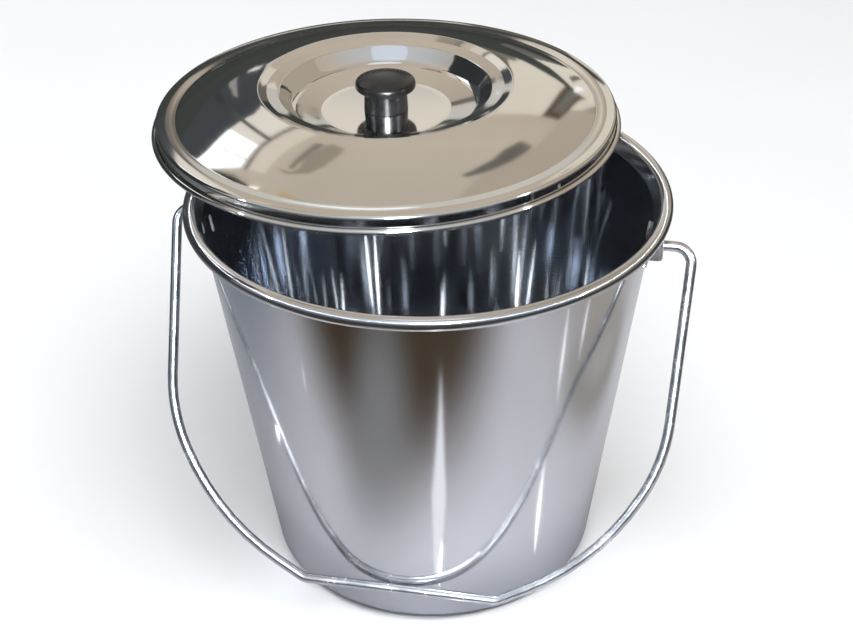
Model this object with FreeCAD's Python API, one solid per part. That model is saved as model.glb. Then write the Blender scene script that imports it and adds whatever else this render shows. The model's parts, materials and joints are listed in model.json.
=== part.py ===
import FreeCAD, Part
import math
import os

# A stainless-steel milking pail: a seamless tapered shell with a rolled rim, two welded
# ears, a wire bail, and a loose over-cap lid with a black knob.
#
# Frame, in millimetres: the origin is the middle of the flat base, on the pail's axis.
# +Z is up and +X runs along the bail's hinge line. At rest the bail hangs at the front,
# towards -Y, with its grip against the wall, and the lid lies askew, towards the back.

Vector = FreeCAD.Vector
ORIGIN = Vector(0, 0, 0)
UP = Vector(0, 0, 1)
NEAR = 0.01                # tolerance when an edge is picked by its size or place

# --- pail shell: one drawn sheet ---
PAIL_HEIGHT = 258.0
RIM_RADIUS = 149.0
SHEET = 0.8
BASE_RADIUS = 107.4        # outside of the wall, carried down to the ground
WALL_TAPER = 0.1265        # outward run of the wall for each unit of height
BASE_CORNER = 8.0
RIM_BEAD_RADIUS = 4.15
RIM_BEAD_SWEEP = -300.0    # degrees the rim's edge is rolled outward and under
NECK_DROP = 9.5            # the wall starts to flare this far below the rim
NECK_BEND = 5.0

# --- ears: hat-shaped straps that hold the ends of the bail ---
HINGE_HEIGHT = 231.5
EAR_FACE = 145.2           # outside face of the pocket, from the pail's axis
EAR_PLATE = 1.5
EAR_HEIGHT = 13.0
POCKET_WIDTH = 17.0
POCKET_BEND = 3.0
STRAP_HALF_ANGLE = 7.6     # degrees round the pail that each flange reaches
STRAP_CORNER = 2.0
HINGE_HOLE_RADIUS = 3.6
WELD_RADIUS = 1.7

# --- bail: one bent wire ---
WIRE_RADIUS = 3.2
BAIL_GAP = 0.3             # left between the grip and the wall at rest
BAIL_DROP = 230.0          # hinge line to the grip's centre line
END_HEAD_RADIUS = 4.8
END_HEAD_THICKNESS = 3.0
END_HEAD_EDGE = 0.8        # rounding of the head's two edges
END_PLAY = 0.5             # between each end head and the inside of its ear
# Half of the wire's line: distance from the middle, drop below the hinge, bend radius.
BAIL_HALF = [
    (62.0, BAIL_DROP, 12.0),
    (123.0, 198.0, 157.0),
    (158.0, 132.0, 108.0),
    (163.0, 0.0, 10.5),
]

# --- lid: one pressed and polished sheet; heights are above the bottom of its edge ---
LID_SHEET = 0.7
LID_CENTRE = Vector(-44.7, 87.9, 0)
LID_GAP = 0.3              # left between the lid's edge and the pail's rim
LID_BEAD_RADIUS = 1.9
LID_BEAD_SWEEP = 285.0
LID_SKIRT_RADIUS = 150.4   # inside of the skirt, which clears the rim all round
LID_CROWN = 11.1           # crest of the shoulder that nests over the rim
LID_EDGE = 10.6            # corner between the shoulder's outer slope and the skirt
LID_DISC_RADIUS = 42.9
LID_DISC_HEIGHT = 8.8
LID_HOLE_RADIUS = 2.8
# The underside of the sheet, from the hole outward: radius, height, bend radius.
LID_UNDERSIDE = [
    (LID_HOLE_RADIUS, LID_DISC_HEIGHT, 0.0),
    (LID_DISC_RADIUS, LID_DISC_HEIGHT, 2.0),
    (61.8, 13.1, 10.0),
    (69.8, 23.4, 1.0),
    (77.8, 25.2, 3.0),
    (83.2, 27.3, 1.2),
    (113.9, 22.8, 170.0),
    (137.6, 10.55, 2.5),
    (144.4, LID_CROWN, 4.0),
    (LID_SKIRT_RADIUS, LID_EDGE, 1.5),
]

# --- knob: a nearly straight stem under a low domed cap ---
KNOB_RADIUS = 19.8
KNOB_HEIGHT = 22.8
KNOB_DOME_HEIGHT = 3.2     # from the cap's side up to its top
KNOB_DOME_BEND = 50.0
KNOB_TOP_RADIUS = 9.0      # where the dome's slope ends in the flat top
CAP_EDGE_BEND = 3.0
CAP_LIP_BEND = 1.8
CAP_LIP_RISE = 1.0         # the cap's underside rises this much out to its edge
STEM_RADIUS = 14.5
STEM_TAPER = 0.7           # the stem is this much slimmer at its top
STEM_HEIGHT = 13.6
STEM_TOP_BEND = 1.6
STEM_FOOT_BEND = 0.5

# --- threaded insert, screw and washer that hold the knob ---
INSERT_RADIUS = 4.0
INSERT_LENGTH = 10.0
INSERT_WAIST = 3.5         # radius of the groove that keys it into the knob
INSERT_SLOPE = 0.5         # height of each side of that groove
INSERT_EDGE = 0.2
INSERT_BORE = 2.55
INSERT_END_WALL = 1.0
SCREW_RADIUS = 2.5
SCREW_REACH = 8.0          # how far the screw goes into the insert
SCREW_TIP_EDGE = 0.5
SCREW_NECK_BEND = 0.15
SCREW_HEAD_RADIUS = 4.7
SCREW_HEAD_HEIGHT = 3.2
SCREW_HEAD_BEND = 2.0
SCREW_SEAT_EDGE = 0.2
CROSS_LENGTH = 5.0
CROSS_WIDTH = 1.1
CROSS_DEPTH = 1.9
WASHER_RADIUS = 8.0
WASHER_THICKNESS = 1.2


def flat(points):
    """Corners given as (radius, height, bend) turned into points in the XZ plane."""
    return [(Vector(x, 0, z), bend) for x, z, bend in points]


def rounded_line(corners):
    """Edges of a line through the corners, each rounded to its bend radius."""
    edges = []
    start = corners[0][0]
    for before, here, after in zip(corners, corners[1:], corners[2:]):
        corner, bend = here
        back = (before[0] - corner).normalize()
        ahead = (after[0] - corner).normalize()
        half = back.getAngle(ahead) / 2
        inward = (back + ahead).normalize()
        arc_start = corner + back * (bend / math.tan(half))
        arc_end = corner + ahead * (bend / math.tan(half))
        middle = corner + inward * (bend / math.sin(half) - bend)
        if start.distanceToPoint(arc_start) > NEAR / 100:
            edges.append(Part.LineSegment(start, arc_start).toShape())
        edges.append(Part.Arc(arc_start, middle, arc_end).toShape())
        start = arc_end
    edges.append(Part.LineSegment(start, corners[-1][0]).toShape())
    return edges


def left_of(start, end):
    """Unit vector to the left of a step in the XZ plane, seen with Z up and X right."""
    step = (end - start).normalize()
    return Vector(-step.z, 0, step.x)


def shifted_line(corners, distance):
    """The corners moved to the left by a distance, as the other face of a bent sheet."""
    points = [point for point, bend in corners]
    shifted = [(points[0] + left_of(points[0], points[1]) * distance, 0.0)]
    for i in range(1, len(points) - 1):
        first = left_of(points[i - 1], points[i])
        second = left_of(points[i], points[i + 1])
        turns_left = first.cross(second).y < 0
        bend = corners[i][1] + (-distance if turns_left else distance)
        move = (first + second) * (distance / (1 + first.dot(second)))
        shifted.append((points[i] + move, bend))
    shifted.append((points[-1] + left_of(points[-2], points[-1]) * distance, 0.0))
    return shifted


def on_circle(centre, radius, degrees):
    angle = math.radians(degrees)
    return centre + Vector(radius * math.cos(angle), 0, radius * math.sin(angle))


def arc_about(centre, radius, start, sweep):
    """Arc in the XZ plane about a centre, from an angle and through a sweep in degrees."""
    points = [on_circle(centre, radius, start + sweep * part) for part in (0, 0.5, 1)]
    return Part.Arc(*points).toShape()


def turned(edges):
    """Solid made by turning a closed outline in the XZ plane once round the Z axis."""
    outline = Part.Wire(Part.__sortEdges__(edges))
    return Part.Face(outline).revolve(ORIGIN, UP, 360)


def beaded_sheet(corners, sheet, centre, radius, sweep):
    """Turned sheet whose edge is curled into a bead; the corners are on the face that
    ends up outside the bead, and the sweep's sign says which way the edge is curled."""
    last = corners[-1][0]
    reach = last - centre
    bearing = math.degrees(math.atan2(reach.z, reach.x))
    spread = math.degrees(math.acos(radius / reach.Length))
    start = bearing + math.copysign(spread, sweep)
    side = math.copysign(sheet, sweep)
    outer = corners + [(on_circle(centre, radius, start), 0.0)]
    inner = shifted_line(outer, side)
    edges = rounded_line(outer) + rounded_line(inner)
    edges.append(arc_about(centre, radius, start, sweep))
    edges.append(arc_about(centre, radius - sheet, start, sweep))
    for outer_end, inner_end in (
        (outer[0][0], inner[0][0]),
        (
            on_circle(centre, radius, start + sweep),
            on_circle(centre, radius - sheet, start + sweep),
        ),
    ):
        edges.append(Part.LineSegment(outer_end, inner_end).toShape())
    return turned(edges)


def wall_radius(height):
    """Outside of the pail's straight wall at a height."""
    return BASE_RADIUS + WALL_TAPER * height


def wall_core(bottom, top):
    """Everything inside the wall's outer face between two heights."""
    lower = wall_radius(bottom)
    upper = wall_radius(top)
    return Part.makeCone(lower, upper, top - bottom, Vector(0, 0, bottom), UP)


def pail_shell():
    """Flat base, rounded corner, tapered wall, flared neck and hollow rolled rim."""
    lean = math.atan(WALL_TAPER)
    skin = SHEET / math.cos(lean)
    neck_height = PAIL_HEIGHT - NECK_DROP
    inside = flat([
        (0.0, SHEET, 0.0),
        (wall_radius(SHEET) - skin, SHEET, BASE_CORNER - SHEET),
        (wall_radius(neck_height) - skin, neck_height, NECK_BEND),
    ])
    bead_centre = Vector(RIM_RADIUS - RIM_BEAD_RADIUS, 0, PAIL_HEIGHT - RIM_BEAD_RADIUS)
    return beaded_sheet(inside, SHEET, bead_centre, RIM_BEAD_RADIUS, RIM_BEAD_SWEEP)


def ear_strap():
    """Strap wrapped round the wall, centred on +X, before its pocket is added."""
    low = HINGE_HEIGHT - EAR_HEIGHT / 2
    high = HINGE_HEIGHT + EAR_HEIGHT / 2
    section = Part.makePolygon([
        Vector(wall_radius(low), 0, low),
        Vector(wall_radius(low) + EAR_PLATE, 0, low),
        Vector(wall_radius(high) + EAR_PLATE, 0, high),
        Vector(wall_radius(high), 0, high),
        Vector(wall_radius(low), 0, low),
    ])
    face = Part.Face(section)
    face.rotate(ORIGIN, UP, -STRAP_HALF_ANGLE)
    strap = face.revolve(ORIGIN, UP, 2 * STRAP_HALF_ANGLE)
    corners = [edge for edge in strap.Edges if abs(edge.Length - EAR_PLATE) < NEAR]
    return strap.makeFillet(STRAP_CORNER, corners)


def pocket_block(inset):
    """Block of the pocket's plan, stood between the strap's edges and bent at its front."""
    half = POCKET_WIDTH / 2 - inset
    block = Part.makeBox(
        EAR_FACE - inset - RIM_RADIUS + 2 * POCKET_WIDTH,
        2 * half,
        EAR_HEIGHT,
        Vector(RIM_RADIUS - 2 * POCKET_WIDTH, -half, HINGE_HEIGHT - EAR_HEIGHT / 2),
    )
    front = [
        edge for edge in block.Edges
        if edge.BoundBox.XMin > EAR_FACE - inset - NEAR and edge.BoundBox.ZLength > NEAR
    ]
    return block.makeFillet(POCKET_BEND - inset, front)


def ear():
    """Ear on the +X side: a strap with a pocket, and the hole that the bail turns in."""
    shape = ear_strap().fuse(pocket_block(0.0))
    shape = shape.cut(pocket_block(EAR_PLATE))
    shape = shape.cut(wall_core(0, PAIL_HEIGHT))
    hole = Part.makeCylinder(
        HINGE_HOLE_RADIUS, RIM_RADIUS, Vector(0, 0, HINGE_HEIGHT), Vector(1, 0, 0)
    )
    return shape.cut(hole).removeSplitter()


def ear_weld(ear_shape):
    """Two fillet welds, one down each end of the +X ear's strap."""
    low = HINGE_HEIGHT - EAR_HEIGHT / 2 + STRAP_CORNER
    high = HINGE_HEIGHT + EAR_HEIGHT / 2 - STRAP_CORNER
    beads = []
    for side in (-1, 1):
        turn = math.radians(side * STRAP_HALF_ANGLE)
        out = Vector(math.cos(turn), math.sin(turn), 0)
        foot = out * wall_radius(low) + UP * low
        head = out * wall_radius(high) + UP * high
        bead = Part.makeCylinder(
            WELD_RADIUS, foot.distanceToPoint(head), foot, head - foot
        )
        for end in (foot, head):
            bead = bead.fuse(Part.makeSphere(WELD_RADIUS, end))
        beads.append(bead.cut(wall_core(0, PAIL_HEIGHT)).cut(ear_shape))
    return Part.Compound([solid for bead in beads for solid in bead.Solids])


def other_side(shape):
    """The same piece on the -X side."""
    return shape.mirror(ORIGIN, Vector(1, 0, 0))


def hang_angle():
    """Angle of the bail from straight down when its grip lies against the wall."""
    lean = math.atan(WALL_TAPER)
    reach = wall_radius(HINGE_HEIGHT) + (WIRE_RADIUS + BAIL_GAP) / math.cos(lean)
    return math.asin(reach * math.cos(lean) / BAIL_DROP) - lean


def bail():
    """Bent wire with its ends turned in through the ears and upset into heads."""
    angle = hang_angle()
    end = EAR_FACE - EAR_PLATE - END_PLAY
    half = BAIL_HALF + [(end, 0.0, 0.0)]
    line = [(-across, drop, bend) for across, drop, bend in reversed(half)] + half
    corners = [
        (Vector(across, -drop * math.sin(angle), HINGE_HEIGHT - drop * math.cos(angle)), bend)
        for across, drop, bend in line
    ]
    path = Part.Wire(rounded_line(corners))
    start = corners[0][0]
    section = Part.Wire(Part.makeCircle(WIRE_RADIUS, start, Vector(1, 0, 0)))
    wire = path.makePipeShell([section], True, False)
    head = Part.makeCylinder(
        END_HEAD_RADIUS,
        END_HEAD_THICKNESS,
        Vector(end - END_HEAD_THICKNESS, 0, HINGE_HEIGHT),
        Vector(1, 0, 0),
    )
    rims = [edge for edge in head.Edges if edge.Closed]
    head = head.makeFillet(END_HEAD_EDGE, rims)
    return wire.fuse(head).fuse(other_side(head)).removeSplitter()


def placed_on_lid(shape, height=0.0):
    """Move a piece from the lid's own axis to where the lid lies on the rim."""
    shape.translate(LID_CENTRE + UP * (PAIL_HEIGHT + LID_GAP + height))
    return shape


def lid():
    """Knob disc, sunk dish, ring, dome, valley, shoulder, skirt and curled edge."""
    bead_centre = Vector(LID_SKIRT_RADIUS + LID_BEAD_RADIUS, 0, LID_BEAD_RADIUS)
    shape = beaded_sheet(
        flat(LID_UNDERSIDE), LID_SHEET, bead_centre, LID_BEAD_RADIUS, LID_BEAD_SWEEP
    )
    return placed_on_lid(shape)


def closed(corners):
    """Turned solid from rounded corners that start and end on the axis."""
    edges = rounded_line(corners)
    edges.append(Part.LineSegment(corners[-1][0], corners[0][0]).toShape())
    return turned(edges)


def insert_blank():
    """Outside of the threaded insert, with the waist that keys it into the knob."""
    third = INSERT_LENGTH / 3
    return closed(flat([
        (0.0, 0.0, 0.0),
        (INSERT_RADIUS, 0.0, INSERT_EDGE),
        (INSERT_RADIUS, third, INSERT_EDGE),
        (INSERT_WAIST, third + INSERT_SLOPE, INSERT_EDGE),
        (INSERT_WAIST, 2 * third - INSERT_SLOPE, INSERT_EDGE),
        (INSERT_RADIUS, 2 * third, INSERT_EDGE),
        (INSERT_RADIUS, INSERT_LENGTH, INSERT_EDGE),
        (0.0, INSERT_LENGTH, 0.0),
    ]))


def knob():
    """Mushroom knob, turned as one outline, with the insert's space cut out of it."""
    body = closed(flat([
        (0.0, 0.0, 0.0),
        (STEM_RADIUS, 0.0, STEM_FOOT_BEND),
        (STEM_RADIUS - STEM_TAPER, STEM_HEIGHT, STEM_TOP_BEND),
        (KNOB_RADIUS, STEM_HEIGHT + CAP_LIP_RISE, CAP_LIP_BEND),
        (KNOB_RADIUS, KNOB_HEIGHT - KNOB_DOME_HEIGHT, CAP_EDGE_BEND),
        (KNOB_TOP_RADIUS, KNOB_HEIGHT, KNOB_DOME_BEND),
        (0.0, KNOB_HEIGHT, 0.0),
    ]))
    return body.cut(insert_blank())


def knob_insert():
    """Threaded insert with a plain blind bore standing for its thread."""
    bore = Part.makeCylinder(INSERT_BORE, INSERT_LENGTH - INSERT_END_WALL)
    return insert_blank().cut(bore)


def knob_washer():
    """Flat washer under the lid's disc, with its top face at height zero."""
    bottom = Vector(0, 0, -WASHER_THICKNESS)
    plate = Part.makeCylinder(WASHER_RADIUS, WASHER_THICKNESS, bottom)
    return plate.cut(Part.makeCylinder(LID_HOLE_RADIUS, WASHER_THICKNESS, bottom))


def knob_screw():
    """Pan-head screw with a cross recess; its head's seat is at height zero."""
    length = WASHER_THICKNESS + LID_SHEET + SCREW_REACH
    shape = closed(flat([
        (0.0, -SCREW_HEAD_HEIGHT, 0.0),
        (SCREW_HEAD_RADIUS, -SCREW_HEAD_HEIGHT, SCREW_HEAD_BEND),
        (SCREW_HEAD_RADIUS, 0.0, SCREW_SEAT_EDGE),
        (SCREW_RADIUS, 0.0, SCREW_NECK_BEND),
        (SCREW_RADIUS, length, SCREW_TIP_EDGE),
        (0.0, length, 0.0),
    ]))
    corner = Vector(-CROSS_LENGTH / 2, -CROSS_WIDTH / 2, -SCREW_HEAD_HEIGHT)
    for turn in (0, 90):
        slot = Part.makeBox(CROSS_LENGTH, CROSS_WIDTH, CROSS_DEPTH, corner)
        slot.rotate(ORIGIN, UP, turn)
        shape = shape.cut(slot)
    return shape


def pieces():
    """Every node of the pail, at rest, by name."""
    right_ear = ear()
    right_weld = ear_weld(right_ear)
    disc_top = LID_DISC_HEIGHT + LID_SHEET
    return {
        "pail_shell": pail_shell(),
        "ear_right": right_ear,
        "ear_left": other_side(right_ear),
        "ear_weld_right": right_weld,
        "ear_weld_left": other_side(right_weld),
        "bail": bail(),
        "lid": lid(),
        "knob": placed_on_lid(knob(), disc_top),
        "knob_insert": placed_on_lid(knob_insert(), disc_top),
        "knob_washer": placed_on_lid(knob_washer(), LID_DISC_HEIGHT),
        "knob_screw": placed_on_lid(knob_screw(), LID_DISC_HEIGHT - WASHER_THICKNESS),
    }


os.makedirs("parts", exist_ok=True)
for name, shape in pieces().items():
    assert shape.isValid() and shape.Solids, name
    print(f"{name}: {len(shape.Solids)} solid(s), {shape.Volume / 1000:.2f} cm3")
    shape.exportStep(f"parts/{name}.step")
print(f"bail hangs {math.degrees(hang_angle()):.2f} degrees from straight down")
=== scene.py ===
import json
import math

import bmesh
import bpy
from mathutils import Matrix, Vector


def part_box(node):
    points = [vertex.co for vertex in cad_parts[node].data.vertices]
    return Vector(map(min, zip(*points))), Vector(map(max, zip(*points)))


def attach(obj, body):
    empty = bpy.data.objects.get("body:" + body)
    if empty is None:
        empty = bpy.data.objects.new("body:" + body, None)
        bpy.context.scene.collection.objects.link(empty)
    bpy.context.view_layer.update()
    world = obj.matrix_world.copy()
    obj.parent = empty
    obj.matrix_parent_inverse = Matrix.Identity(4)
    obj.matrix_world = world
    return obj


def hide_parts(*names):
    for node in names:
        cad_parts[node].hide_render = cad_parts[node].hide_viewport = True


# The looks of a stainless-steel milking pail: sheet-metal surfaces, wire, ears, welds and
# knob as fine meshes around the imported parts, their materials, and a small studio.
# Lengths are in metres. Profiles are in millimetres, as sheet-metal drawings are.

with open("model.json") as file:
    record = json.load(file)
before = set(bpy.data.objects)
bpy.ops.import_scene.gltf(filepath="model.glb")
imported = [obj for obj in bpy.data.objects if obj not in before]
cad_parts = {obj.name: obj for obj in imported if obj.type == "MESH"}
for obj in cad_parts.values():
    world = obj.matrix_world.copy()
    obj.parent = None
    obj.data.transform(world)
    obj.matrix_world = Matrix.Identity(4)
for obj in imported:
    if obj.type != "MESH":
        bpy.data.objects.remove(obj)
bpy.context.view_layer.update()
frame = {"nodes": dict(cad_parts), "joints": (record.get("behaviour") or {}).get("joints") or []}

MM = 0.001

# --- places taken from the frame ---
PAIL_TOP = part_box("pail_shell")[1]
LID_LOW, LID_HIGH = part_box("lid")
LID_PLACE = Vector(((LID_LOW.x + LID_HIGH.x) / 2, (LID_LOW.y + LID_HIGH.y) / 2, LID_LOW.z))
KNOB_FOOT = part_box("knob")[0].z
JOINTS = {joint["name"]: joint for joint in frame["joints"]}
HINGE = Vector(JOINTS["bail_swing"]["pos_m"])

# --- pail profile, millimetres ---
PAIL_HEIGHT = PAIL_TOP.z / MM
RIM_RADIUS = PAIL_TOP.x / MM
SHEET = 0.8
BASE_RADIUS = 107.4
WALL_TAPER = 0.1265
BASE_CORNER = 8.0
RIM_BEAD_RADIUS = 4.15
RIM_BEAD_SWEEP = -300.0
NECK_DROP = 9.5
NECK_BEND = 5.0

# --- bail, millimetres: half of the wire's line as across, drop, bend ---
WIRE_RADIUS = 3.2
BAIL_GAP = 0.3
BAIL_DROP = 230.0
BAIL_HALF = [
    (62.0, BAIL_DROP, 12.0),
    (123.0, 198.0, 157.0),
    (158.0, 132.0, 108.0),
    (163.0, 0.0, 10.5),
    (143.2, 0.0, 0.0),
]
END_HEAD = [(0.0, 4.0), (0.2, 4.5), (0.8, 4.8), (2.2, 4.8), (2.8, 4.5), (3.0, 4.0)]

# --- lid profile, millimetres above the bottom of its edge ---
LID_SHEET = 0.7
LID_BEAD_RADIUS = 1.9
LID_BEAD_SWEEP = 285.0
LID_SKIRT_RADIUS = 150.4
LID_UNDERSIDE = [
    (2.8, 8.8, 0.0),
    (42.9, 8.8, 2.0),
    (61.8, 13.1, 10.0),
    (69.8, 23.4, 1.0),
    (77.8, 25.2, 3.0),
    (83.2, 27.3, 1.2),
    (113.9, 22.8, 170.0),
    (137.6, 10.55, 2.5),
    (144.4, 11.1, 4.0),
    (LID_SKIRT_RADIUS, 10.6, 1.5),
]

# --- knob profile, millimetres above its foot ---
KNOB_OUTSIDE = [
    (4.0, 0.0, 0.0),
    (14.5, 0.0, 0.5),
    (13.8, 13.6, 1.6),
    (19.8, 14.6, 1.8),
    (19.8, 19.6, 3.0),
    (9.0, 22.8, 50.0),
    (0.0, 22.8, 0.0),
]
KNOB_CAVITY = [(0.0, 10.0, 0.0), (4.0, 10.0, 0.3), (4.0, 0.0, 0.0)]

# --- welds, millimetres ---
STRAP_HALF_ANGLE = 7.6
EAR_HEIGHT = 13.0
STRAP_CORNER = 2.0
WELD_RADIUS = 1.7
WELD_RIPPLE = 0.22
WELD_PITCH = 1.05
WELD_WEAVE = 0.25
WELD_WEAVE_RATE = 1.9
WELD_TIP = 0.001

# --- broken edges of the pressed ears, metres ---
EAR_VOXEL = 0.3 * MM
EAR_SMOOTH_ROUNDS = 3
EAR_SMOOTH_SHARE = 0.5

# --- fineness of the meshes ---
ARC_STEP = math.radians(5)
RUN_STEP = 5.0
TURN_STEPS = 288
KNOB_TURN_STEPS = 144
WIRE_SIDES = 40
WELD_STEPS = 60
WELD_SIDES = 24
SHARP_ANGLE = math.radians(35)
TINY = 1e-6

# --- slow waves of a spun sheet: turns round, waves for each millimetre, shift ---
# They run along a sample's distance from the axis plus its height, in millimetres.
WALL_WAVES = [(3, 0.011, 0.4), (5, -0.023, 2.1), (8, 0.031, 4.0), (13, -0.016, 1.2)]
WALL_DEPTH = 0.09
WALL_CALM = 12
WALL_WAVES_RISE = 40
WALL_WAVES_END = 400
WALL_WAVES_FALL = 60
RIM_WAVE_SHARE = 0.25
LID_WAVES = [(2, 0.020, 0.9), (5, -0.034, 2.7), (9, 0.052, 5.1), (14, 0.018, 3.3)]
LID_DEPTH = 0.035
LID_CALM = 70
LID_WAVES_RISE = 50

# --- the pail's inside, toned darker below the rim as painted shade ---
PAINTED_SHADE_TOP = PAIL_HEIGHT - 1.2 * NECK_DROP
FACES_UP = 0.9

# --- camera ---
CAMERA_AZIMUTH = 11.6
CAMERA_ELEVATION = 34.64
CAMERA_ROLL = -1.127
CAMERA_DISTANCE = 0.9889
CAMERA_TARGET = Vector((0, 0, 0.12985))
CAMERA_LENS = 63.306
CAMERA_SENSOR = 36.0
CAMERA_SHIFT = (-0.0051, 0.0480)
CAMERA_CLIP = 0.01


# ---------------------------------------------------------------- sheet-metal lines

def left(step):
    """A flat vector turned a quarter to the left."""
    return Vector((-step.y, step.x))


def swung(vector, angle):
    """A flat vector turned by an angle."""
    return Matrix.Rotation(angle, 2) @ vector


def run_to(samples, end, normal):
    """Add evenly spaced samples on a straight run, without its end."""
    start = samples[-1][0]
    steps = math.ceil((end - start).length / RUN_STEP)
    for i in range(1, steps):
        samples.append((start.lerp(end, i / steps), normal))


def rounded(corners):
    """Samples (point, left-hand normal) along straight runs joined by round bends."""
    points = [Vector(corner[:2]) for corner in corners]
    samples = [(points[0], left(points[1] - points[0]).normalized())]
    for before, here, after, corner in zip(points, points[1:], points[2:], corners[1:]):
        bend = corner[2]
        back = (before - here).normalized()
        ahead = (after - here).normalized()
        half = back.angle(ahead) / 2
        first = left(-back)
        side = math.copysign(1, first.dot(ahead))
        turn = math.pi - 2 * half
        centre = here + (back + ahead).normalized() * (bend / math.sin(half))
        run_to(samples, here + back * (bend / math.tan(half)), first)
        steps = max(2, math.ceil(turn / ARC_STEP))
        for i in range(steps + 1):
            normal = swung(first, side * turn * i / steps)
            samples.append((centre - normal * (side * bend), normal))
    normal = left(points[-1] - points[-2]).normalized()
    run_to(samples, points[-1], normal)
    samples.append((points[-1], normal))
    return samples


def beaded_sheet(corners, sheet, centre, radius, sweep):
    """Closed outline of a sheet that follows the corners and ends curled into a bead."""
    reach = Vector(corners[-1][:2]) - centre
    side = math.copysign(1, sweep)
    start = math.atan2(reach.y, reach.x) + side * math.acos(radius / reach.length)
    touch = centre + Vector((math.cos(start), math.sin(start))) * radius
    face = rounded(corners + [(touch.x, touch.y, 0.0)])
    steps = math.ceil(math.radians(abs(sweep)) / ARC_STEP)
    for i in range(1, steps + 1):
        angle = start + math.radians(sweep) * i / steps
        out = Vector((math.cos(angle), math.sin(angle)))
        face.append((centre + out * radius, -side * out))
    other = [(point + normal * (side * sheet), normal) for point, normal in reversed(face)]
    return face + other


def waves(table, depth):
    """Height of a sheet's slow waves at a turn round the axis and a way along the sheet."""
    def height(turn, along):
        total = sum(math.sin(n * turn + rate * along + shift) for n, rate, shift in table)
        return depth * total / len(table)
    return height


# ---------------------------------------------------------------- meshes

def finished(name, grid_mesh, place=(0, 0, 0)):
    """Object from a bmesh, facing outward and shaded smooth up to sharp edges."""
    bmesh.ops.recalc_face_normals(grid_mesh, faces=grid_mesh.faces)
    mesh = bpy.data.meshes.new(name)
    grid_mesh.to_mesh(mesh)
    grid_mesh.free()
    mesh.shade_smooth()
    mesh.set_sharp_from_angle(angle=SHARP_ANGLE)
    piece = bpy.data.objects.new(name, mesh)
    piece.location = place
    bpy.context.scene.collection.objects.link(piece)
    return piece


def skin(rings, closed_round, closed_along):
    """Faces between rings of vertices; a ring may be one vertex on the axis."""
    mesh = bmesh.new()
    made = [[mesh.verts.new(point) for point in ring] for ring in rings]
    pairs = list(zip(made, made[1:]))
    if closed_along:
        pairs.append((made[-1], made[0]))
    for near, far in pairs:
        count = max(len(near), len(far))
        if count == 1:
            continue
        for i in range(count if closed_round else count - 1):
            j = (i + 1) % count
            if len(near) == 1:
                corners = (near[0], far[j], far[i])
            elif len(far) == 1:
                corners = (near[i], near[j], far[0])
            else:
                corners = (near[i], near[j], far[j], far[i])
            mesh.faces.new(corners)
    return mesh


def turned(name, outline, place=(0, 0, 0), steps=TURN_STEPS, height=None):
    """Turn (point, normal) samples in millimetres round the Z axis."""
    rings = []
    for point, normal in outline:
        if point.x < TINY:
            rings.append([(0, 0, point.y * MM)])
            continue
        ring = []
        for i in range(steps):
            turn = math.tau * i / steps
            at = point + normal * height(turn, point.x + point.y) if height else point
            ring.append((math.cos(turn) * at.x * MM, math.sin(turn) * at.x * MM, at.y * MM))
        rings.append(ring)
    return finished(name, skin(rings, True, True), place)


def swept(name, line, flat_side, radii):
    """Round wire along (centre, side) samples that lie in one plane; radii in metres."""
    rings = []
    for (centre, side), radius in zip(line, radii):
        ring = []
        for i in range(WIRE_SIDES):
            turn = math.tau * i / WIRE_SIDES
            out = side * math.cos(turn) + flat_side * math.sin(turn)
            ring.append(centre + out * radius)
        rings.append(ring)
    rings.insert(0, [line[0][0]])
    rings.append([line[-1][0]])
    return finished(name, skin(rings, True, False))


def wall_radius(height):
    """Outside of the tapered wall at a height, in millimetres."""
    return BASE_RADIUS + WALL_TAPER * height


def pail_shell():
    """Flat base, rounded corner, tapered wall, flared neck and hollow rolled rim."""
    skin_depth = SHEET / math.cos(math.atan(WALL_TAPER))
    neck = PAIL_HEIGHT - NECK_DROP
    inside = [
        (0.0, SHEET, 0.0),
        (wall_radius(SHEET) - skin_depth, SHEET, BASE_CORNER - SHEET),
        (wall_radius(neck) - skin_depth, neck, NECK_BEND),
    ]
    centre = Vector((RIM_RADIUS - RIM_BEAD_RADIUS, PAIL_HEIGHT - RIM_BEAD_RADIUS))
    outline = beaded_sheet(inside, SHEET, centre, RIM_BEAD_RADIUS, RIM_BEAD_SWEEP)
    ripple = waves(WALL_WAVES, WALL_DEPTH)

    def height(turn, along):
        """Waves that fade out at the base, where the pail stands, and at the rim."""
        rise = min(1, max(0, (along - BASE_RADIUS - WALL_CALM) / WALL_WAVES_RISE))
        fall = min(1, max(RIM_WAVE_SHARE, (WALL_WAVES_END - along) / WALL_WAVES_FALL))
        return ripple(turn, along) * rise * fall
    return turned("pail_body", outline, height=height)


def lid_sheet():
    """Knob disc, sunk dish, ring, dome, valley, shoulder, skirt and curled edge."""
    centre = Vector((LID_SKIRT_RADIUS + LID_BEAD_RADIUS, LID_BEAD_RADIUS))
    outline = beaded_sheet(LID_UNDERSIDE, LID_SHEET, centre, LID_BEAD_RADIUS, LID_BEAD_SWEEP)
    ripple = waves(LID_WAVES, LID_DEPTH)

    def height(turn, along):
        """Waves that fade out towards the stiff middle."""
        return ripple(turn, along) * min(1, max(0, (along - LID_CALM) / LID_WAVES_RISE))
    return turned("lid_cover", outline, LID_PLACE, height=height)


def knob():
    """Moulded mushroom knob with the pocket that its threaded insert sits in."""
    outline = rounded(KNOB_OUTSIDE) + rounded(KNOB_CAVITY)
    place = Vector((LID_PLACE.x, LID_PLACE.y, KNOB_FOOT))
    return turned("knob_moulding", outline, place, steps=KNOB_TURN_STEPS)


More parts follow.
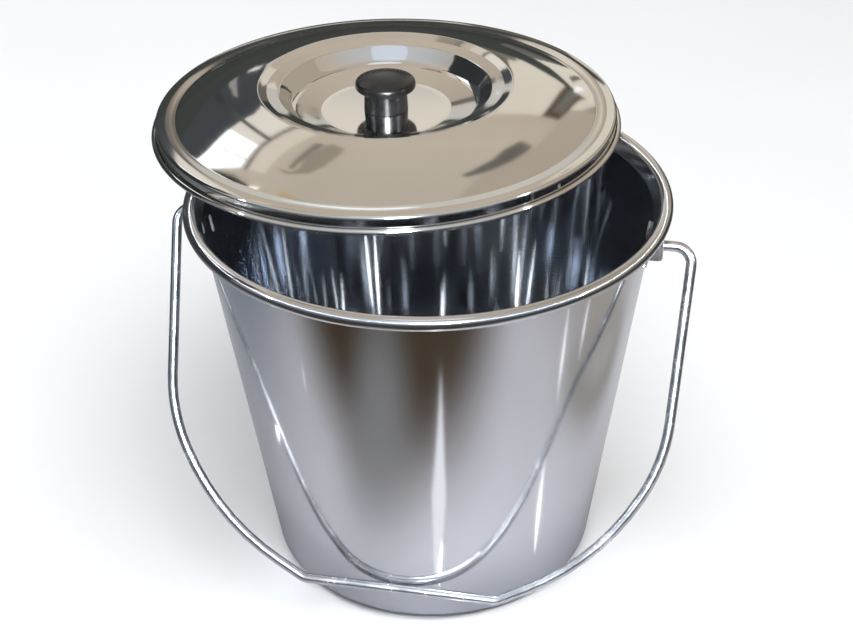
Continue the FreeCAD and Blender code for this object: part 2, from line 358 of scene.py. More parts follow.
def hang_direction():
    """Unit vector down the hanging bail, with its grip against the wall."""
    lean = math.atan(WALL_TAPER)
    reach = wall_radius(HINGE.z / MM) + (WIRE_RADIUS + BAIL_GAP) / math.cos(lean)
    angle = math.asin(reach * math.cos(lean) / BAIL_DROP) - lean
    return Vector((0, -math.sin(angle), -math.cos(angle)))


def bail():
    """Bent wire whose ends are turned in through the ears and upset into heads."""
    down = hang_direction()
    across = Vector((1, 0, 0))
    corners = [(-x, drop, bend) for x, drop, bend in reversed(BAIL_HALF)] + BAIL_HALF
    flat_line = rounded(corners)
    start, end = flat_line[0], flat_line[-1]
    radii = [WIRE_RADIUS] * len(flat_line)
    for beyond, radius in END_HEAD:
        step = Vector((beyond, 0))
        flat_line = [(start[0] + step, start[1])] + flat_line + [(end[0] - step, end[1])]
        radii = [radius] + radii + [radius]
    line = [
        (HINGE + (across * point.x + down * point.y) * MM, across * side.x + down * side.y)
        for point, side in flat_line
    ]
    return swept("bail_wire", line, across.cross(down), [radius * MM for radius in radii])


def softened(node, name):
    """Copy of a pressed part with its edges broken, as tumbling leaves them."""
    mesh = bmesh.new()
    mesh.from_mesh(frame["nodes"][node].data)
    bmesh.ops.remove_doubles(mesh, verts=mesh.verts, dist=TINY)
    piece = finished(name, mesh)
    remesh = piece.modifiers.new("even", "REMESH")
    remesh.mode = "VOXEL"
    remesh.voxel_size = EAR_VOXEL
    smooth = piece.modifiers.new("break_edges", "SMOOTH")
    smooth.iterations = EAR_SMOOTH_ROUNDS
    smooth.factor = EAR_SMOOTH_SHARE
    graph = bpy.context.evaluated_depsgraph_get()
    even = bpy.data.meshes.new_from_object(piece.evaluated_get(graph))
    piece.modifiers.clear()
    piece.data = even
    even.shade_smooth()
    return piece


def weld_bead(side, edge):
    """Rippled fillet weld down one end of an ear's strap, as a bmesh."""
    hinge_height = HINGE.z / MM
    low = hinge_height - EAR_HEIGHT / 2 + STRAP_CORNER
    high = hinge_height + EAR_HEIGHT / 2 - STRAP_CORNER
    turn = math.radians(edge * STRAP_HALF_ANGLE)
    out = Vector((math.cos(turn) * side, math.sin(turn), 0))
    around = Vector((-out.y, out.x, 0))
    foot = out * wall_radius(low) + Vector((0, 0, low))
    head = out * wall_radius(high) + Vector((0, 0, high))
    up = (head - foot).normalized()
    length = (head - foot).length
    rings = []
    for i in range(WELD_STEPS + 1):
        along = -WELD_RADIUS + i / WELD_STEPS * (length + 2 * WELD_RADIUS)
        beyond = max(-along, along - length, 0)
        cap = math.sqrt(max(WELD_RADIUS ** 2 - beyond ** 2, 0)) / WELD_RADIUS
        ripple = WELD_RIPPLE * abs(math.sin(math.pi * along / WELD_PITCH + edge))
        weave = WELD_WEAVE * math.sin(along * WELD_WEAVE_RATE + edge)
        radius = max((WELD_RADIUS - WELD_RIPPLE + ripple) * cap, WELD_TIP)
        centre = foot + up * along + around * weave
        rings.append([
            (centre + (out * math.cos(a) + around * math.sin(a)) * radius) * MM
            for a in (math.tau * k / WELD_SIDES for k in range(WELD_SIDES))
        ])
    bead = skin(rings, True, False)
    bmesh.ops.holes_fill(bead, edges=bead.edges)
    return bead


def ear_weld(name, side):
    """The two welds at the ends of one ear's strap, as one piece."""
    joined = bmesh.new()
    for edge in (-1, 1):
        bead = weld_bead(side, edge)
        part = bpy.data.meshes.new("bead")
        bead.to_mesh(part)
        bead.free()
        joined.from_mesh(part)
        bpy.data.meshes.remove(part)
    return finished(name, joined)


# ---------------------------------------------------------------- materials

LINE_DETAIL = 4.0
SHEEN_STRETCH = 0.95
SHEEN_TURN = 0.25


def material(name, **values):
    """Principled material with uniform values set on the shader's own sockets."""
    made = bpy.data.materials.new(name)
    made.use_nodes = True
    shader = made.node_tree.nodes["Principled BSDF"]
    for socket, value in values.items():
        shader.inputs[socket.replace("_", " ")].default_value = value
    return made, made.node_tree, shader


def add(tree, kind, **values):
    """Shader node with values set on its own sockets."""
    node = tree.nodes.new("ShaderNode" + kind)
    for socket, value in values.items():
        node.inputs[socket.replace("_", " ")].default_value = value
    return node


def spots(tree, scale, detail, stretch=(1, 1, 1)):
    """Noise over the object's own coordinates, stretched along some of them."""
    coordinates = add(tree, "TexCoord")
    mapping = add(tree, "Mapping", Scale=stretch)
    texture = add(tree, "TexNoise", Scale=scale, Detail=detail)
    tree.links.new(coordinates.outputs["Object"], mapping.inputs["Vector"])
    tree.links.new(mapping.outputs["Vector"], texture.inputs["Vector"])
    return texture.outputs["Fac"]


def turning_lines(tree, scale):
    """Noise that only changes with the height and the distance from the Z axis."""
    coordinates = add(tree, "TexCoord")
    parts = add(tree, "SeparateXYZ")
    flat_part = add(tree, "CombineXYZ")
    radius = add(tree, "VectorMath")
    radius.operation = "LENGTH"
    place = add(tree, "Math")
    place.operation = "ADD"
    texture = add(tree, "TexNoise", Scale=scale, Detail=LINE_DETAIL)
    texture.noise_dimensions = "1D"
    tree.links.new(coordinates.outputs["Object"], parts.inputs[0])
    tree.links.new(parts.outputs["X"], flat_part.inputs["X"])
    tree.links.new(parts.outputs["Y"], flat_part.inputs["Y"])
    tree.links.new(flat_part.outputs[0], radius.inputs[0])
    tree.links.new(radius.outputs["Value"], place.inputs[0])
    tree.links.new(parts.outputs["Z"], place.inputs[1])
    tree.links.new(place.outputs[0], texture.inputs["W"])
    return texture.outputs["Fac"]


def spread(tree, source, low, high, start=0.3, end=0.7):
    """Map a noise's middle range to a range of values."""
    node = add(tree, "MapRange", From_Min=start, From_Max=end, To_Min=low, To_Max=high)
    tree.links.new(source, node.inputs["Value"])
    return node.outputs["Result"]


def ramped(tree, source, stops):
    """Colour along a ramp of (position, colour) stops."""
    ramp = tree.nodes.new("ShaderNodeValToRGB")
    while len(ramp.color_ramp.elements) < len(stops):
        ramp.color_ramp.elements.new(0.5)
    for element, (position, colour) in zip(ramp.color_ramp.elements, stops):
        element.position = position
        element.color = (*colour, 1)
    tree.links.new(source, ramp.inputs["Fac"])
    return ramp.outputs["Color"]


def between(tree, source, low, high, start=0.3, end=0.7):
    """Mix two colours by a noise."""
    return ramped(tree, source, [(start, low), (end, high)])


def toned(tree, shader, source, low, high):
    """Base colour between two tones, by a noise."""
    tree.links.new(between(tree, source, low, high), shader.inputs["Base Color"])


def roughened(tree, shader, source, low, high, fine=None, share=0.0):
    """Roughness over a range by a noise, with a finer noise's share on top."""
    rough = spread(tree, source, low, high)
    if fine is not None:
        total = add(tree, "Math")
        total.operation = "ADD"
        tree.links.new(rough, total.inputs[0])
        tree.links.new(spread(tree, fine, 0.0, share), total.inputs[1])
        rough = total.outputs[0]
    tree.links.new(rough, shader.inputs["Roughness"])


def bumped(tree, shader, source, strength, distance):
    """Fine relief by a noise."""
    bump = add(tree, "Bump", Strength=strength, Distance=distance)
    tree.links.new(source, bump.inputs["Height"])
    tree.links.new(bump.outputs["Normal"], shader.inputs["Normal"])


def turning_sheen(tree, shader, share, colour, roughness):
    """Wide upright sheen that polishing round the Z axis leaves over the mirror finish."""
    grooves = tree.nodes.new("ShaderNodeTangent")
    grooves.direction_type = "RADIAL"
    grooves.axis = "Z"
    sheen = add(tree, "BsdfAnisotropic", Color=(*colour, 1), Roughness=roughness,
                Anisotropy=SHEEN_STRETCH, Rotation=SHEEN_TURN)
    both = add(tree, "MixShader", Fac=share)
    output = next(node for node in tree.nodes if node.type == "OUTPUT_MATERIAL")
    tree.links.new(grooves.outputs[0], sheen.inputs["Tangent"])
    tree.links.new(shader.outputs[0], both.inputs[1])
    tree.links.new(sheen.outputs[0], both.inputs[2])
    tree.links.new(both.outputs[0], output.inputs["Surface"])


def satin_steel():
    """Drawn and polished pail sheet: faint turning lines, smears and dull patches."""
    made, tree, shader = material("satin_steel", Metallic=1.0)
    smears = spots(tree, 9.0, 4.0, (1, 1, 0.6))
    lines = turning_lines(tree, 900.0)
    toned(tree, shader, smears, (0.60, 0.60, 0.61), (0.70, 0.70, 0.72))
    roughened(tree, shader, smears, 0.05, 0.11, lines, 0.035)
    bumped(tree, shader, lines, 0.05, 0.0002)
    turning_sheen(tree, shader, 0.075, (0.62, 0.63, 0.66), 0.46)
    return made


def inside_painted_shade_steel():
    """The same sheet inside the pail, toned darker and with a weaker sheen: painted shade under the
    lid.
    """
    made, tree, shader = material("inside_painted_shade_steel", Metallic=1.0)
    smears = spots(tree, 7.0, 4.0, (1, 1, 0.4))
    lines = turning_lines(tree, 900.0)
    toned(tree, shader, smears, (0.48, 0.50, 0.53), (0.58, 0.60, 0.63))
    roughened(tree, shader, smears, 0.03, 0.06, lines, 0.02)
    bumped(tree, shader, lines, 0.04, 0.0002)
    turning_sheen(tree, shader, 0.02, (0.60, 0.62, 0.66), 0.40)
    return made


def paint_inside_shade(piece, finish):
    """Give the faces that look towards the pail's axis, below the rim, the darker finish of painted
    shade.
    """
    piece.data.materials.append(finish)
    for face in piece.data.polygons:
        out = Vector((face.center.x, face.center.y, 0))
        inward = face.normal.dot(out) < 0 or face.normal.z > FACES_UP
        if inward and face.center.z < PAINTED_SHADE_TOP * MM:
            face.material_index = 1


def polished_steel():
    """Mirror-polished lid with a few wipe marks and very fine polishing rings."""
    made, tree, shader = material("polished_steel", Metallic=1.0)
    wipes = spots(tree, 14.0, 5.0, (1, 0.5, 1))
    lines = turning_lines(tree, 1500.0)
    toned(tree, shader, wipes, (0.70, 0.69, 0.67), (0.76, 0.75, 0.73))
    roughened(tree, shader, wipes, 0.05, 0.085, lines, 0.02)
    bumped(tree, shader, lines, 0.03, 0.0001)
    return made


def wire_steel():
    """Drawn wire: lengthwise grain and handling marks."""
    made, tree, shader = material("wire_steel", Metallic=1.0)
    marks = spots(tree, 60.0, 5.0)
    fine = spots(tree, 420.0, 3.0)
    toned(tree, shader, marks, (0.52, 0.53, 0.56), (0.68, 0.69, 0.72))
    roughened(tree, shader, marks, 0.12, 0.24, fine, 0.08)
    bumped(tree, shader, fine, 0.12, 0.0001)
    return made


def ear_steel():
    """Pressed plate, tumbled dull, with small dents."""
    made, tree, shader = material("ear_steel", Metallic=1.0)
    marks = spots(tree, 160.0, 5.0)
    toned(tree, shader, marks, (0.44, 0.44, 0.46), (0.60, 0.60, 0.63))
    roughened(tree, shader, marks, 0.26, 0.42)
    bumped(tree, shader, marks, 0.35, 0.0004)
    return made


def weld_steel():
    """Weld metal: uneven, with brown and blue heat colours."""
    made, tree, shader = material("weld_steel", Metallic=1.0)
    heat = spots(tree, 220.0, 4.0)
    toned(tree, shader, heat, (0.30, 0.24, 0.19), (0.50, 0.50, 0.54))
    roughened(tree, shader, heat, 0.30, 0.50)
    bumped(tree, shader, spots(tree, 900.0, 3.0), 0.4, 0.0002)
    return made


def black_phenolic():
    """Compression-moulded black plastic: soft sheen, faint orange peel, handling haze."""
    made, tree, shader = material("black_phenolic", Metallic=0.0, IOR=1.50)
    shader.inputs["Specular IOR Level"].default_value = 0.38
    haze = spots(tree, 70.0, 4.0)
    toned(tree, shader, haze, (0.008, 0.008, 0.009), (0.018, 0.018, 0.020))
    roughened(tree, shader, haze, 0.20, 0.34)
    bumped(tree, shader, spots(tree, 500.0, 2.0), 0.08, 0.0002)
    return made


def turned_brass():
    """Threaded insert: brass with fine turning lines."""
    made, tree, shader = material("turned_brass", Metallic=1.0)
    lines = turning_lines(tree, 2500.0)
    toned(tree, shader, lines, (0.66, 0.48, 0.20), (0.80, 0.62, 0.30))
    roughened(tree, shader, lines, 0.22, 0.38)
    return made


def bright_hardware():
    """Screw and washer: bright finish with turning marks."""
    made, tree, shader = material("bright_hardware", Metallic=1.0)
    grain = spots(tree, 800.0, 3.0)
    toned(tree, shader, grain, (0.52, 0.52, 0.53), (0.66, 0.66, 0.67))
    roughened(tree, shader, grain, 0.18, 0.32)
    bumped(tree, shader, grain, 0.1, 0.0001)
    return made


# ---------------------------------------------------------------- studio

def direction(azimuth, elevation):
    """Unit vector; degrees, with the azimuth measured from +Y towards +X."""
    a, e = math.radians(azimuth), math.radians(elevation)
    return Vector((math.sin(a) * math.cos(e), math.cos(a) * math.cos(e), math.sin(e)))


# Flat glowing cards that stand in for a room's windows, walls and door, placed round a
# point over the lid: name, distance, colour, strength, corners as azimuth and elevation.
CARD_EYE = LID_PLACE + Vector((0, 0, 0.025))
CARDS = [
    ("window_light", 4.0, (0.96, 0.98, 1.0), 1.9, [
        (-58, 32), (-55.5, 46), (-41, 42.3), (-40.5, 28), (-43, 25.5), (-45, 26), (-47, 30),
        (-50, 31), (-53, 31.5), (-55, 30),
    ]),
    ("window_far", 4.0, (0.97, 0.92, 0.84), 1.0, [
        (-41, 42.3), (-27, 37), (-27.2, 28.5), (-29, 27), (-32, 27.3), (-34, 29.5), (-38, 29.5),
        (-40.5, 28),
    ]),
    ("window_blind", 4.0, (0.92, 0.84, 0.72), 0.92, [
        (-55.5, 48), (-56, 53), (-45, 50.5), (-34, 46.5), (-24.5, 41.5), (-25, 37.5), (-40, 43.3),
    ]),
    ("window_rail", 3.9, (0.30, 0.29, 0.28), 0.5, [
        (-56, 47.2), (-56, 48.2), (-40, 43.4), (-26, 37.9), (-26, 36.9), (-40, 42.4),
    ]),
    ("window_post", 3.8, (0.20, 0.20, 0.20), 0.5, [
        (-36.8, 41.5), (-35.2, 41), (-34.6, 27), (-35.8, 27),
    ]),
    ("window_bar", 3.8, (0.5, 0.5, 0.5), 0.9, [(-51.0, 46), (-50.5, 46), (-49.4, 37), (-49.9, 37)]),
    ("shelf_shade", 4.0, (0.62, 0.54, 0.44), 0.62, [
        (-51, 57), (-44, 60), (-35, 58.5), (-26, 53.5), (-22.5, 50), (-24, 46.5), (-35, 52),
        (-43, 56.5), (-48, 57), (-49.5, 53),
    ]),
    ("shelf_edge", 3.9, (0.36, 0.33, 0.28), 0.6, [
        (-46, 55), (-46, 56.2), (-36, 52.5), (-26, 47), (-27, 45.6), (-36, 51),
    ]),
    ("left_dark", 4.1, (0.30, 0.36, 0.38), 0.11, [
        (-100, -12), (-100, 38), (-72, 52), (-65.5, 57.5), (-62.5, 53), (-58.5, 46), (-57, 33),
        (-50, -12),
    ]),
    ("left_lamp", 3.9, (1.0, 0.97, 0.9), 2.0, [
        (-64.5, 54.5), (-62, 54.5), (-62.4, 52), (-64, 51.5),
    ]),
    ("left_warm", 3.9, (0.90, 0.66, 0.34), 0.7, [
        (-67.5, 66), (-64.5, 66), (-61.5, 60.5), (-63.5, 59),
    ]),
    ("outside_dark", 4.05, (0.34, 0.38, 0.43), 0.20, [
        (-62, 10), (-58, 34), (-27, 29.5), (-23, 24), (-23, 10),
    ]),
    ("outside_haze", 4.03, (0.60, 0.64, 0.76), 0.42, [
        (-60, 25), (-58, 33), (-47, 30.5), (-43, 26), (-46, 20), (-54, 19),
    ]),
    ("curtain_left", 3.9, (0.62, 0.60, 0.60), 0.62, [
        (-34.2, 27), (-32.6, 26), (-28.4, 11), (-29.8, 10),
    ]),
    ("curtain_edge", 3.9, (0.10, 0.12, 0.12), 0.5, [(-37, 27), (-35.5, 27), (-30.5, 0), (-32, 0)]),
    ("low_back", 4.05, (0.22, 0.24, 0.23), 0.24, [
        (-50, -12), (-50, 12), (-24, 13), (-3, 11), (-3, -12),
    ]),
    ("low_lamp", 3.7, (1.0, 0.98, 0.92), 1.0, [
        (-27.4, 13.0), (-25.8, 14.0), (-25, 12.4), (-26.8, 11.8),
    ]),
    ("low_strip", 3.7, (0.85, 0.88, 1.0), 0.8, [
        (-26.6, 12), (-26.1, 12), (-24.4, -8), (-24.8, -8),
    ]),
    ("back_wall", 4.0, (0.92, 0.86, 0.76), 1.0, [
        (-19, 24.2), (-18, 28), (-12, 29), (-7, 28), (-6, 24.2),
    ]),
    ("back_glow", 4.02, (0.86, 0.83, 0.77), 0.80, [
        (-26, -1), (-24, 20), (-19, 24.2), (-6, 24.2), (-9, 8), (-14, -3),
    ]),
    ("flange_spot", 3.6, (0.85, 0.92, 1.0), 1.8, [
        (-17.5, 18.4), (-17, 20.6), (-12.5, 21.0), (-12, 18.6),
    ]),
    ("low_window", 3.85, (0.96, 0.98, 1.0), 1.4, [(-64, 9), (-63, 16), (-57, 17), (-55.5, 10)]),
    ("back_shade", 4.1, (0.42, 0.37, 0.32), 0.42, [
        (-30, 8), (-30, 26), (-20, 26), (-19, 17), (-6, 17), (-5, 24), (2, 24), (4, 8),
    ]),
    ("right_wall", 3.95, (0.92, 0.86, 0.74), 0.92, [
        (-1, 13), (0, 36), (6, 34), (13, 31), (17, 20), (14, 8), (9, 2), (4, -3),
    ]),
    ("right_post", 3.9, (0.40, 0.34, 0.28), 0.6, [(1.4, 34.5), (2.0, 34), (1.0, 14), (0.4, 14)]),
    ("sill", 3.9, (0.42, 0.41, 0.33), 0.55, [
        (-4, 10.5), (-3, 12.5), (1, 13.2), (8, 11), (8, 9.6), (1, 11.5),
    ]),
    ("door_frame", 3.8, (0.16, 0.09, 0.06), 0.5, [
        (12.8, 31.5), (17.4, 29.4), (13.4, 12.6), (9.0, 12.0),
    ]),
    ("door_glass", 3.7, (0.40, 0.39, 0.34), 0.45, [
        (13.6, 28), (16.0, 27), (12.5, 12.5), (10.2, 12.0),
    ]),
    ("door_foot", 3.85, (0.22, 0.18, 0.14), 0.5, [(9.0, 12), (10.0, 12), (7.0, 1), (6.2, 1)]),
    ("small_lights", 3.6, (0.95, 0.96, 1.0), 1.3, [
        (9.8, 8), (11.2, 13), (11.9, 12.6), (10.6, 7.5),
    ]),
    ("side_dim", 4.1, (0.56, 0.49, 0.40), 0.92, [
        (17, 6), (18, 30), (24, 44), (29, 64), (36, 72), (60, 66), (75, 30), (60, 6),
    ]),
    ("right_dark", 4.0, (0.30, 0.28, 0.25), 0.50, [
        (20.4, 63.5), (24, 64), (26.5, 60), (27, 54), (25, 48), (23, 43.5), (17.5, 43.5),
        (17.6, 49), (20, 54), (20.5, 60),
    ]),
    ("ceiling_light", 3.5, (0.90, 0.94, 1.0), 1.1, [
        (-60, 82), (-30, 83), (0, 81.5), (30, 80), (60, 80), (100, 79), (140, 77), (180, 76.5),
        (-140, 77), (-100, 80),
    ]),
    ("front_soft", 4.0, (0.80, 0.88, 1.0), 1.0, [
        (146, 44), (150, 60), (164, 66), (184, 66), (198, 60), (202, 44),
    ]),
    ("front_haze", 3.9, (0.80, 0.88, 1.0), 0.70, [(154, 27), (157, 46), (172, 46), (175, 27)]),
]

# The room beyond the cards, warm behind the pail and cool in front: colours by height as a
# share of the room's radius. One turns into the other between two places along Y.
ROOM_RADIUS = 6.0
ROOM_TURN = (0.5, -2.5)
ROOM_BACK = [
    (0.0, (0.10, 0.10, 0.10)), (0.12, (0.20, 0.19, 0.17)), (0.45, (0.54, 0.47, 0.39)),
    (0.75, (0.66, 0.58, 0.48)), (1.0, (0.60, 0.54, 0.46)),
]
ROOM_FRONT = [
    (0.0, (0.08, 0.10, 0.12)), (0.15, (0.15, 0.18, 0.21)), (0.45, (0.34, 0.40, 0.47)),
    (0.80, (0.64, 0.66, 0.68)), (1.0, (0.60, 0.54, 0.46)),
]

# The table that the steel mirrors: grey near the pail and dark beyond, with patches over it:
# place, reach, squeeze along the axes, core, colour.
TABLE_SIZE = 12.0
TABLE_HEIGHT = 0.0004
TABLE_MIDDLE = (0.05, 0.0, 0)
TABLE_REACH = 1.0
TABLE_FAR = (0.065, 0.065, 0.06)
TABLE_NEAR = (0.57, 0.565, 0.595)
TABLE_FADE = (0.40, 0.72)
TABLE_PATCHES = [
    # The first patch is painted shadow: a darker ring round the pail's foot, for the shadow the
    # pail casts there.
    ((0, 0, 0), 0.17, (1, 1, 1), 0.10, (0.38, 0.38, 0.41)),
    ((-0.45, 0.0, 0), 0.42, (1, 1, 1), 0.0, (0.24, 0.26, 0.30)),
    ((-0.05, -0.47, 0), 0.35, (0.62, 1.0, 1), 0.17, (0.052, 0.036, 0.020)),
    ((-0.06, -0.27, 0), 0.13, (1.1, 0.7, 1), 0.0, (0.20, 0.20, 0.20)),
    ((0.28, 0.06, 0), 0.20, (1.9, 1.0, 1), 0.03, (0.27, 0.26, 0.23)),
    ((0.29, 0.08, 0), 0.13, (2.2, 1.0, 1), 0.02, (0.42, 0.41, 0.39)),
    ((0.44, 0.10, 0), 0.26, (1.2, 0.6, 1), 0.02, (0.38, 0.35, 0.31)),
]

# Dark strip close round the back and left of the lid, which its flat edge mirrors: degrees
# from +Y towards +X, and the strip's lowest and highest place above the lid's edge.
EDGE_SHADE = [
    (-115, 0.040, 0.046), (-100, 0.032, 0.058), (-80, 0.030, 0.060), (-60, 0.028, 0.056),
    (-40, 0.028, 0.052), (-20, 0.028, 0.050), (0, 0.028, 0.050), (20, 0.030, 0.050),
    (32, 0.034, 0.050), (44, 0.042, 0.046),
]
EDGE_SHADE_RADIUS = 0.20
EDGE_SHADE_COLOUR = (0.24, 0.26, 0.25)
EDGE_SHADE_STRENGTH = 0.25

# Bright slivers on the table that the wall shows as upright streaks: ends, width, strength.
SLIVERS = [
    ((0.030, -0.128), (0.076, -0.270), 0.0090, 9.0),
    ((0.026, -0.128), (0.088, -0.310), 0.0240, 1.3),
    ((0.112, -0.074), (0.205, -0.082), 0.0040, 4.0),
    ((0.255, -0.075), (0.370, -0.082), 0.0060, 2.6),
    ((0.300, -0.020), (0.390, 0.004), 0.0050, 2.4),
    ((-0.215, -0.181), (-0.248, -0.197), 0.0040, 1.6),
    ((-0.200, -0.063), (-0.228, -0.057), 0.0060, 7.0),
]
SLIVER_COLOUR = (0.94, 0.95, 1.0)
SLIVER_HEIGHT = 0.0008
SLIVER_STEP = 0.0001
SLIVER_WIDEST = 0.4

# Upright slivers inside the pail: degrees from the front, radius, low, high, width, strength.
INNER_SLIVERS = [
    (-57, 0.098, 0.08, 0.20, 0.0010, 7.0),
    (-3, 0.094, 0.08, 0.21, 0.0010, 7.0),
    (42, 0.096, 0.09, 0.20, 0.0010, 7.0),
    (-76, 0.095, 0.01, 0.09, 0.0016, 14.0),
    (0, 0.090, 0.002, 0.05, 0.0012, 8.0),
    (62, 0.094, 0.01, 0.11, 0.0016, 14.0),
    (96, 0.100, 0.01, 0.07, 0.0010, 9.0),
]
INNER_SLIVER_COLOUR = (0.94, 0.97, 1.0)

# Round lamps: name, place, size, power, colour, and whether they make only highlights.
LAMP_AIM = Vector((0, 0, 0.15))
LAMPS = [
    ("soft_top", (0.4, -0.5, 2.2), 2.0, 37.0, (1.0, 0.99, 0.97), False),
    ("soft_left", (-2.0, 0.8, 1.6), 1.4, 15.5, (0.95, 0.98, 1.0), False),
    ("front_spark", direction(163.5, 40) * 1.7, 0.28, 120.0, (0.90, 0.95, 1.0), True),
    ("right_spark", direction(98, 34) * 1.8, 0.06, 5.0, (0.96, 0.98, 1.0), True),
    ("left_spark", direction(243, 34) * 1.8, 0.06, 2.0, (0.96, 0.98, 1.0), True),
]

FLOOR_SIZE = 40.0
SKY_COLOUR = (0.90, 0.92, 0.95)
SKY_STRENGTH = 0.60
MOST_BOUNCES = 16
MIRROR_BOUNCES = 12


def glow(name, colour, strength):
    """Material that only gives off light."""
    made = bpy.data.materials.new(name)
    made.use_nodes = True
    tree = made.node_tree
    tree.nodes.clear()
    lamp = add(tree, "Emission", Color=(*colour, 1), Strength=strength)
    output = add(tree, "OutputMaterial")
    tree.links.new(lamp.outputs[0], output.inputs["Surface"])
    return made


def only_reflected(piece):
    """Stage piece that only shows in reflections."""
    piece.visible_camera = False
    piece.visible_diffuse = False
    piece.visible_shadow = False
    piece.visible_transmission = False
    piece.visible_volume_scatter = False


def stage_piece(name, points, faces, finish):
    """Flat faces between points, with a finish."""
    mesh = bpy.data.meshes.new(name)
    mesh.from_pydata(points, [], faces)
    mesh.materials.append(finish)
    piece = bpy.data.objects.new(name, mesh)
    bpy.context.scene.collection.objects.link(piece)
    return piece


def edge_shade():
    """The dark strip that the lid's flat edge mirrors."""
    points = []
    for turn, low, high in EDGE_SHADE:
        out = LID_PLACE + direction(turn, 0) * EDGE_SHADE_RADIUS
        points += [out + Vector((0, 0, low)), out + Vector((0, 0, high))]
    faces = [(2 * i, 2 * i + 2, 2 * i + 3, 2 * i + 1) for i in range(len(EDGE_SHADE) - 1)]
    finish = glow("edge_shade", EDGE_SHADE_COLOUR, EDGE_SHADE_STRENGTH)
    only_reflected(stage_piece("edge_shade", points, faces, finish))


def glowing_card(name, colour, strength, points):
    """One flat glowing face, seen only in reflections."""
    finish = glow(name, colour, strength)
    only_reflected(stage_piece(name, points, [range(len(points))], finish))


def room_card(name, distance, colour, strength, corners):
    """Glowing card whose corners lie at one distance from the point over the lid."""
    points = [CARD_EYE + direction(*corner) * distance for corner in corners]
    glowing_card(name, colour, strength, points)


def room_shell():
    """Warm room behind and cool daylight in front, seen only in reflections."""
    mesh = bmesh.new()
    bmesh.ops.create_uvsphere(mesh, u_segments=48, v_segments=24, radius=ROOM_RADIUS)
    piece = finished("room_shell", mesh)
    made = glow("room_paint", ROOM_BACK[-1][1], 1.0)
    tree = made.node_tree
    coordinates = add(tree, "TexCoord")
    parts = add(tree, "SeparateXYZ")
    tree.links.new(coordinates.outputs["Object"], parts.inputs[0])
    height = spread(tree, parts.outputs["Z"], 0.0, 1.0, 0.0, ROOM_RADIUS)
    back = ramped(tree, height, ROOM_BACK)
    front = ramped(tree, height, ROOM_FRONT)
    to_front = spread(tree, parts.outputs["Y"], 0.0, 1.0, *ROOM_TURN)
    lamp = next(node for node in tree.nodes if node.type == "EMISSION")
    tree.links.new(blended(tree, to_front, back, front), lamp.inputs["Color"])
    piece.data.materials.append(made)
    only_reflected(piece)


def plane(name, size, height, finish):
    """Level square round the Z axis."""
    half = size / 2
    corners = [(-half, -half), (half, -half), (half, half), (-half, half)]
    return stage_piece(name, [(x, y, height) for x, y in corners], [range(4)], finish)


def nearness(tree, place, reach, squeeze=(1, 1, 1), core=0.0):
    """One within a core round a place on the table, falling to zero at a reach from it."""
    coordinates = add(tree, "TexCoord")
    shift = tuple(-p * q for p, q in zip(place, squeeze))
    centred = add(tree, "Mapping", Location=shift, Scale=squeeze)
    distance = add(tree, "VectorMath")
    distance.operation = "LENGTH"
    tree.links.new(coordinates.outputs["Object"], centred.inputs["Vector"])
    tree.links.new(centred.outputs["Vector"], distance.inputs[0])
    fall = add(tree, "MapRange", From_Min=core, From_Max=reach, To_Min=1.0, To_Max=0.0)
    fall.interpolation_type = "SMOOTHERSTEP"
    tree.links.new(distance.outputs["Value"], fall.inputs["Value"])
    return fall.outputs["Result"]


def blended(tree, factor, under, over):
    """Colour over another by a factor; each is a colour or a socket."""
    mix = tree.nodes.new("ShaderNodeMix")
    mix.data_type = "RGBA"
    tree.links.new(factor, mix.inputs["Factor"])
    for socket, value in (("A", under), ("B", over)):
        target = next(i for i in mix.inputs if i.name == socket and i.type == "RGBA")
        if isinstance(value, tuple):
            target.default_value = (*value, 1)
        else:
            tree.links.new(value, target)
    return next(o for o in mix.outputs if o.type == "RGBA")


def table_card():
    """Grey table top that the steel reflects in place of the pale floor, with painted shadow round
    the pail's foot.
    """
    made, tree, shader = material("table_paint", Roughness=0.9)
    shader.inputs["Specular IOR Level"].default_value = 0.0
    near = nearness(tree, TABLE_MIDDLE, TABLE_REACH)
    paint = between(tree, near, TABLE_FAR, TABLE_NEAR, *TABLE_FADE)
    for place, reach, squeeze, core, colour in TABLE_PATCHES:
        paint = blended(tree, nearness(tree, place, reach, squeeze, core), paint, colour)
    tree.links.new(paint, shader.inputs["Base Color"])
    only_reflected(plane("table_card", TABLE_SIZE, TABLE_HEIGHT, made))


def sliver(number, start, end, width, strength):
    """Thin pointed light lying on the table, seen only in reflections."""
    start, end = Vector(start), Vector(end)
    side = left(end - start).normalized() * (width / 2)
    middle = start.lerp(end, SLIVER_WIDEST)
    rise = Vector((0, 0, SLIVER_HEIGHT + number * SLIVER_STEP))
    points = [corner.to_3d() + rise for corner in (start, middle - side, end, middle + side)]
    glowing_card(f"sliver_{number}", SLIVER_COLOUR, strength, points)


def inner_sliver(number, turn, radius, low, high, width, strength):
    """Thin pointed light standing inside the pail, seen only in its walls' reflections."""
    out = direction(180 - turn, 0)
    side = Vector((-out.y, out.x, 0)) * (width / 2)
    foot = out * radius
    middle = foot + Vector((0, 0, (low + high) / 2))
    points = [foot + Vector((0, 0, low)), middle - side, foot + Vector((0, 0, high)), middle + side]
    glowing_card(f"inner_sliver_{number}", INNER_SLIVER_COLOUR, strength, points)


def floor():
    """Plain pale floor, which the steel doesn't mirror."""
    made, tree, shader = material("pale_floor", Roughness=0.85)
    shader.inputs["Specular IOR Level"].default_value = 0.1
    grain = spots(tree, 3.0, 2.0)
    toned(tree, shader, grain, (0.86, 0.86, 0.865), (0.88, 0.88, 0.885))
    piece = plane("floor", FLOOR_SIZE, 0.0, made)
    piece.visible_glossy = False


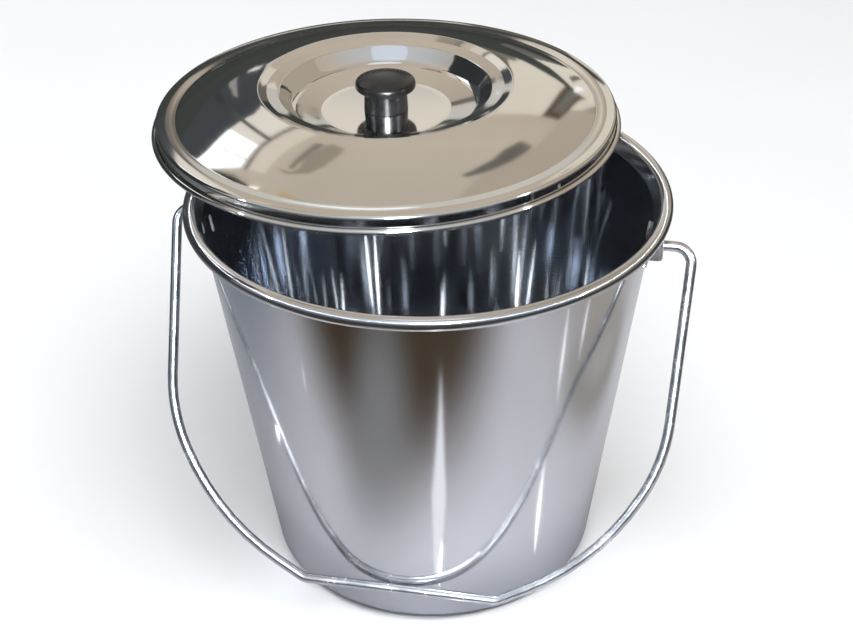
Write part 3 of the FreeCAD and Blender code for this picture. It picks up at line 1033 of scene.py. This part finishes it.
def lamp(name, place, size, power, colour, gloss):
    """Round light aimed at the pail, for the pale floor or only for highlights."""
    data = bpy.data.lights.new(name, "AREA")
    data.shape = "DISK"
    data.size = size
    data.energy = power
    data.color = colour
    piece = bpy.data.objects.new(name, data)
    piece.location = place
    aim = LAMP_AIM - Vector(place)
    piece.rotation_euler = aim.to_track_quat("-Z", "Y").to_euler()
    piece.visible_camera = False
    piece.visible_glossy = gloss
    piece.visible_diffuse = not gloss
    bpy.context.scene.collection.objects.link(piece)


def camera():
    """Camera aimed at the target, rolled, with a small shift of its frame."""
    back = direction(180 - CAMERA_AZIMUTH, CAMERA_ELEVATION)
    right = Vector((0, 0, 1)).cross(back).normalized()
    up = back.cross(right)
    roll = math.radians(CAMERA_ROLL)
    level = Matrix((right, up, back)).transposed()
    turn = level @ Matrix.Rotation(roll, 3, "Z")
    data = bpy.data.cameras.new("camera")
    data.lens = CAMERA_LENS
    data.sensor_width = CAMERA_SENSOR
    data.shift_x, data.shift_y = CAMERA_SHIFT
    data.clip_start = CAMERA_CLIP
    piece = bpy.data.objects.new("camera", data)
    place = CAMERA_TARGET + back * CAMERA_DISTANCE
    piece.matrix_world = Matrix.Translation(place) @ turn.to_4x4()
    bpy.context.scene.collection.objects.link(piece)
    bpy.context.scene.camera = piece


def studio():
    """Sky, floor, mirrored stage and lamps."""
    scene = bpy.context.scene
    scene.view_settings.view_transform = "Standard"
    scene.cycles.use_denoising = True
    scene.cycles.max_bounces = MOST_BOUNCES
    scene.cycles.glossy_bounces = MIRROR_BOUNCES
    world = bpy.data.worlds.new("pale_world")
    world.use_nodes = True
    sky = world.node_tree.nodes["Background"]
    sky.inputs["Color"].default_value = (*SKY_COLOUR, 1)
    sky.inputs["Strength"].default_value = SKY_STRENGTH
    scene.world = world
    floor()
    table_card()
    room_shell()
    for row in CARDS:
        room_card(*row)
    edge_shade()
    for number, row in enumerate(SLIVERS):
        sliver(number, *row)
    for number, row in enumerate(INNER_SLIVERS):
        inner_sliver(number, *row)
    for row in LAMPS:
        lamp(*row)


# ---------------------------------------------------------------- assembly

def show(piece, body, node, finish):
    """A made piece stands for a CAD node, rides on its body and takes a finish."""
    piece.data.materials.clear()
    piece.data.materials.append(finish)
    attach(piece, body)
    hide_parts(node)


def paint(node, finish):
    """A CAD node that keeps its shape gets a better finish."""
    piece = frame["nodes"][node]
    piece.data.materials.clear()
    piece.data.materials.append(finish)


camera()
shell = pail_shell()
show(shell, "pail", "pail_shell", satin_steel())
# The inside takes a darker finish: painted shade.
paint_inside_shade(shell, inside_painted_shade_steel())
show(lid_sheet(), "lid", "lid", polished_steel())
show(knob(), "lid", "knob", black_phenolic())
show(bail(), "bail", "bail", wire_steel())
plate, weld_metal = ear_steel(), weld_steel()
for word, side in (("right", 1), ("left", -1)):
    ear = softened("ear_" + word, "ear_plate_" + word)
    show(ear, "pail", "ear_" + word, plate)
    weld = ear_weld("ear_weld_metal_" + word, side)
    show(weld, "pail", "ear_weld_" + word, weld_metal)
paint("knob_insert", turned_brass())
hardware = bright_hardware()
paint("knob_washer", hardware)
paint("knob_screw", hardware)
studio()
